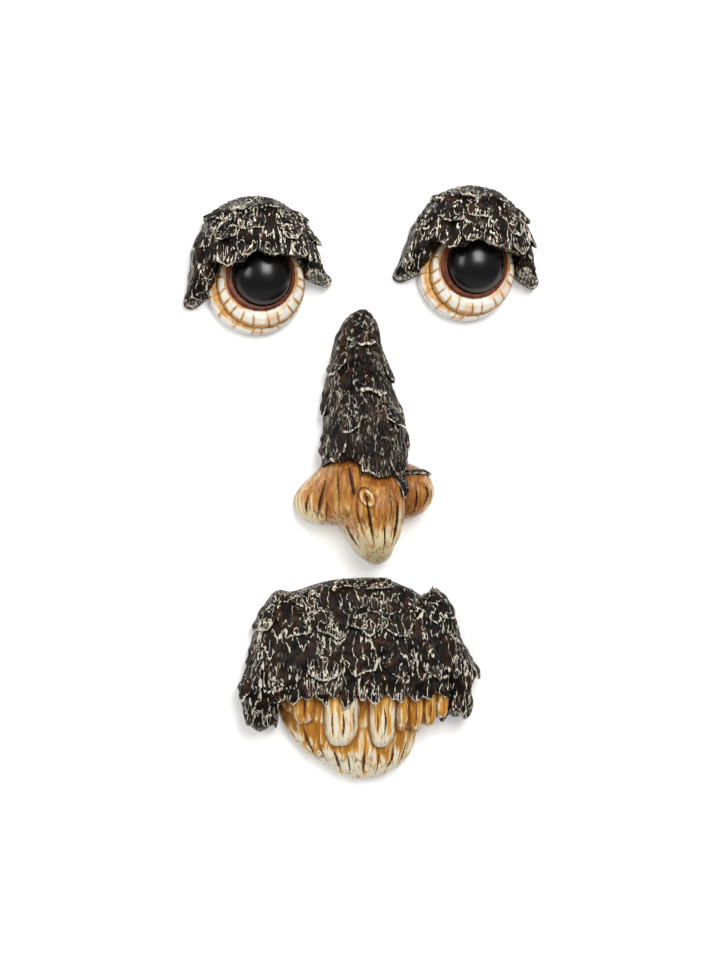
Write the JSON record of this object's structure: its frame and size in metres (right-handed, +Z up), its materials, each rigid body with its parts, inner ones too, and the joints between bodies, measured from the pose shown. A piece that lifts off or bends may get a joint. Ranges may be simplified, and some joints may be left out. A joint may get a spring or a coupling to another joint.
{
  "type": "tree face",
  "caption": "Garden face for a tree trunk: flat-backed resin castings of bark-lidded eyes with polished pupils, a bark and wood nose, and a bark moustache over teeth and lip.",
  "frame": {"origin": "on the flat back of the nose, near the middle of its height, where the nose lies against the trunk", "axes": "+Z up as hung, +Y out of the flat backs into the trunk, so the face looks along -Y, and +X to the viewer's right"},
  "size_m": [0.2112, 0.0421, 0.3558],
  "materials": {
    "eye_resin": "cast resin, painted dark bark with cream edges over a cream and ochre socket",
    "pupil": "polished black",
    "nose_resin": "cast resin, painted dark bark above stained orange-brown wood",
    "mouth_resin": "cast resin, painted dark bark above ochre and cream wood teeth"
  },
  "bodies": {
    "root": {"left_eye_casting": "eye_resin", "left_pupil": "pupil", "right_eye_casting": "eye_resin", "right_pupil": "pupil", "nose_casting": "nose_resin", "mouth_casting": "mouth_resin"}
  },
  "joints": []
}
